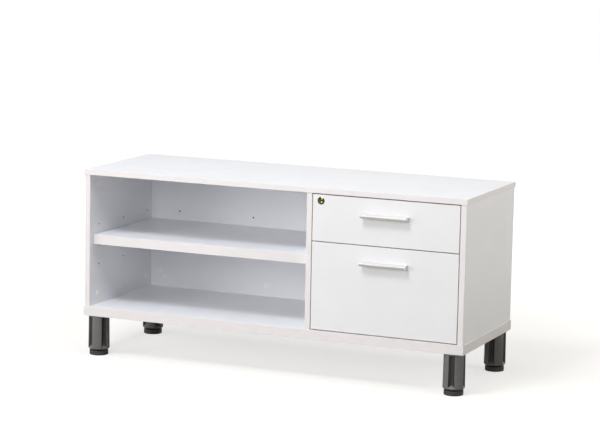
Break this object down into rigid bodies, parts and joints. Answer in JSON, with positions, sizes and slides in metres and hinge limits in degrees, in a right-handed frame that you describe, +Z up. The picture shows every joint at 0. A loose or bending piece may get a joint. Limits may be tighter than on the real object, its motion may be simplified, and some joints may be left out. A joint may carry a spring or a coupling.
{
  "type": "office credenza",
  "caption": "Low white office credenza with an open shelf bay on the left, drawers with ledge handles and a lock on the right, on round black adjustable legs.",
  "frame": {"origin": "on the floor, under the middle of the overall bounding box, handles included", "axes": "+X to the viewer's right when facing the drawers, +Y from the front to the back, +Z up"},
  "size_m": [1.2, 0.44, 0.56],
  "materials": {
    "white_melamine": "white melamine faced chipboard, fine pearl texture, white edge band",
    "drawer_board": "light grey melamine faced board",
    "white_caps": "white moulded polyethylene",
    "black_abs": "black ABS, fine moulded texture",
    "satin_aluminium": "satin anodised aluminium",
    "brass_lock": "polished brass, slightly aged",
    "zinc_plated_sheet": "zinc plated cold rolled steel",
    "zinc_plated_screws": "zinc plated steel",
    "nickel_pins": "nickel plated steel",
    "cast_zinc_cams": "die cast zinc",
    "beech_dowels": "raw beech"
  },
  "bodies": {
    "carcass": {"adjustable_shelf": "white_melamine", "back_panel": "white_melamine", "base_panel": "white_melamine", "cam_bolts": "zinc_plated_screws", "cam_caps": "white_caps", "cam_locks": "cast_zinc_cams", "divider_panel": "white_melamine", "dowels": "beech_dowels", "left_side_panel": "white_melamine", "leg_collar_front_left": "black_abs", "leg_collar_front_right": "black_abs", "leg_collar_rear_left": "black_abs", "leg_collar_rear_right": "black_abs", "leg_column_front_left": "black_abs", "leg_column_front_right": "black_abs", "leg_column_rear_left": "black_abs", "leg_column_rear_right": "black_abs", "leg_screws": "zinc_plated_screws", "lock_bar_guides": "zinc_plated_sheet", "lower_runner_left_cabinet_member": "zinc_plated_sheet", "lower_runner_right_cabinet_member": "zinc_plated_sheet", "right_side_panel": "white_melamine", "runner_screws": "zinc_plated_screws", "shelf_pins": "nickel_pins", "top_panel": "white_melamine", "upper_runner_left_cabinet_member": "zinc_plated_sheet", "upper_runner_right_cabinet_member": "zinc_plated_sheet"},
    "upper_drawer": {"lock_housing": "brass_lock", "upper_drawer_back": "drawer_board", "upper_drawer_catch": "zinc_plated_sheet", "upper_drawer_floor": "drawer_board", "upper_drawer_front": "white_melamine", "upper_drawer_handle": "satin_aluminium", "upper_drawer_left_side": "drawer_board", "upper_drawer_right_side": "drawer_board", "upper_handle_screws": "zinc_plated_screws", "upper_runner_left_drawer_member": "zinc_plated_sheet", "upper_runner_right_drawer_member": "zinc_plated_sheet"},
    "lower_drawer": {"lower_drawer_back": "drawer_board", "lower_drawer_catch": "zinc_plated_sheet", "lower_drawer_floor": "drawer_board", "lower_drawer_front": "white_melamine", "lower_drawer_handle": "satin_aluminium", "lower_drawer_left_side": "drawer_board", "lower_drawer_right_side": "drawer_board", "lower_handle_screws": "zinc_plated_screws", "lower_runner_left_drawer_member": "zinc_plated_sheet", "lower_runner_right_drawer_member": "zinc_plated_sheet"},
    "upper_runner_middles": {"upper_runner_left_middle_member": "zinc_plated_sheet", "upper_runner_right_middle_member": "zinc_plated_sheet"},
    "lower_runner_middles": {"lower_runner_left_middle_member": "zinc_plated_sheet", "lower_runner_right_middle_member": "zinc_plated_sheet"},
    "lock_barrel": {"lock_plug": "brass_lock"},
    "lock_bar": {"lock_bar": "zinc_plated_sheet"},
    "foot_front_left": {"leg_foot_front_left": "black_abs"},
    "foot_front_right": {"leg_foot_front_right": "black_abs"},
    "foot_rear_left": {"leg_foot_rear_left": "black_abs"},
    "foot_rear_right": {"leg_foot_rear_right": "black_abs"}
  },
  "joints": [
    {"name": "upper_drawer_slide", "type": "slide", "parent": "carcass", "child": "upper_drawer", "axis": [0, -1, 0], "range_m": [0, 0.33]},
    {"name": "upper_runner_slide", "type": "slide", "parent": "carcass", "child": "upper_runner_middles", "axis": [0, -1, 0], "range_m": [0, 0.165]},
    {"name": "lower_drawer_slide", "type": "slide", "parent": "carcass", "child": "lower_drawer", "axis": [0, -1, 0], "range_m": [0, 0.33]},
    {"name": "lower_runner_slide", "type": "slide", "parent": "carcass", "child": "lower_runner_middles", "axis": [0, -1, 0], "range_m": [0, 0.165]},
    {"name": "lock_turn", "type": "hinge", "parent": "upper_drawer", "child": "lock_barrel", "pos_m": [0.1605, -0.2, 0.5235], "axis": [0, 1, 0], "range_deg": [0, 180]},
    {"name": "lock_bar_slide", "type": "slide", "parent": "carcass", "child": "lock_bar", "axis": [0, 0, 1], "range_m": [0, 0.012]},
    {"name": "foot_front_left_screw", "type": "slide", "parent": "carcass", "child": "foot_front_left", "axis": [0, 0, -1], "range_m": [-0.0035, 0.012]},
    {"name": "foot_front_right_screw", "type": "slide", "parent": "carcass", "child": "foot_front_right", "axis": [0, 0, -1], "range_m": [-0.0035, 0.012]},
    {"name": "foot_rear_left_screw", "type": "slide", "parent": "carcass", "child": "foot_rear_left", "axis": [0, 0, -1], "range_m": [-0.0035, 0.012]},
    {"name": "foot_rear_right_screw", "type": "slide", "parent": "carcass", "child": "foot_rear_right", "axis": [0, 0, -1], "range_m": [-0.0035, 0.012]}
  ],
  "couplings": [
    {"joint": "upper_runner_slide", "follows": "upper_drawer_slide", "ratio": 0.5},
    {"joint": "lower_runner_slide", "follows": "lower_drawer_slide", "ratio": 0.5},
    {"joint": "lock_turn", "follows": "lock_bar_slide", "rad_per_m": 261.79}
  ]
}
